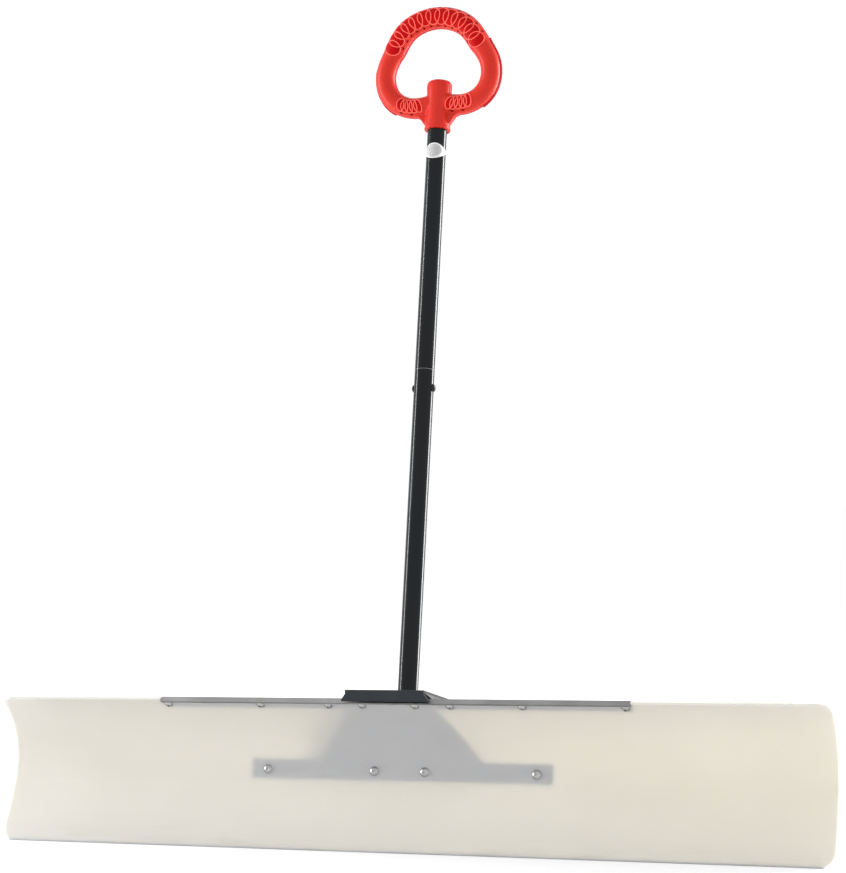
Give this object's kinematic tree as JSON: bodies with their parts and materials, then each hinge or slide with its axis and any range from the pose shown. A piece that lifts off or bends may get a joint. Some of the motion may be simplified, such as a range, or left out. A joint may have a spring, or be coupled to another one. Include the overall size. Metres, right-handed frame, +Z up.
{
  "type": "snow pusher shovel",
  "caption": "Extra-wide curved snow pusher shovel with a translucent sheet blade, metal top rail, leaning two-piece tube and a D-grip",
  "frame": {"origin": "middle of the blade's flat lower edge", "axes": "+X along the blade to the user's right as seen from the front, +Y from the concave front to the back, +Z up; the blade stands upright and the tube leans back 13.1 degrees"},
  "size_m": [1.219, 0.3182, 1.2094],
  "materials": {
    "blade_plastic": "milky translucent polyethylene sheet, satin",
    "rail_aluminium": "mill finish, lightly brushed",
    "charcoal_paint": "matt charcoal powder coat",
    "bracket_metal": "cast and sheet aluminium, mottled grey",
    "tube_black": "gloss black coating",
    "spring_steel": "bright spring steel",
    "button_black": "gloss black",
    "label_silver": "blank silver film",
    "grip_red": "satin orange red",
    "grip_rear_red": "satin darker red",
    "pad_red": "soft deep red insert",
    "fastener_steel": "zinc plated steel"
  },
  "bodies": {
    "blade_assembly": {"bar_bolt_left_1": "fastener_steel", "bar_bolt_left_2": "fastener_steel", "bar_bolt_right_1": "fastener_steel", "bar_bolt_right_2": "fastener_steel", "bar_nut_left_1": "fastener_steel", "bar_nut_left_2": "fastener_steel", "bar_nut_right_1": "fastener_steel", "bar_nut_right_2": "fastener_steel", "blade": "blade_plastic", "bracket_cap": "charcoal_paint", "bracket_wall_left": "bracket_metal", "bracket_wall_right": "bracket_metal", "bracket_web": "bracket_metal", "foot_bolt": "fastener_steel", "foot_nut": "fastener_steel", "lower_bar": "rail_aluminium", "lower_tube": "tube_black", "rail_bolt_left_1": "fastener_steel", "rail_bolt_left_2": "fastener_steel", "rail_bolt_left_3": "fastener_steel", "rail_bolt_left_4": "fastener_steel", "rail_bolt_right_1": "fastener_steel", "rail_bolt_right_2": "fastener_steel", "rail_bolt_right_3": "fastener_steel", "rail_bolt_right_4": "fastener_steel", "rail_nut_left_1": "fastener_steel", "rail_nut_left_2": "fastener_steel", "rail_nut_left_3": "fastener_steel", "rail_nut_left_4": "fastener_steel", "rail_nut_right_1": "fastener_steel", "rail_nut_right_2": "fastener_steel", "rail_nut_right_3": "fastener_steel", "rail_nut_right_4": "fastener_steel", "top_rail": "rail_aluminium", "tube_collar": "charcoal_paint", "tube_foot": "bracket_metal"},
    "upper_handle": {"grip_front_shell": "grip_red", "grip_pad_left": "pad_red", "grip_pad_right": "pad_red", "grip_pad_top": "pad_red", "grip_rear_shell": "grip_rear_red", "grip_screw_left": "fastener_steel", "grip_screw_right": "fastener_steel", "grip_screw_top": "fastener_steel", "label": "label_silver", "spring_clip": "spring_steel", "upper_tube": "tube_black"},
    "left_button": {"snap_button_left": "button_black"},
    "right_button": {"snap_button_right": "button_black"}
  },
  "joints": [
    {"name": "handle_pull", "type": "slide", "parent": "blade_assembly", "child": "upper_handle", "axis": [0, 0.2267, 0.974], "range_m": [0, 0.0705], "deforming": ["spring_clip", "snap_button_left", "snap_button_right"]},
    {"name": "left_button_press", "type": "slide", "parent": "upper_handle", "child": "left_button", "axis": [1, 0, 0], "range_m": [0, 0.0052], "stiffness_N_per_m": 900, "deforming": ["spring_clip"]},
    {"name": "right_button_press", "type": "slide", "parent": "upper_handle", "child": "right_button", "axis": [-1, 0, 0], "range_m": [0, 0.0052], "stiffness_N_per_m": 900, "deforming": ["spring_clip"]}
  ]
}
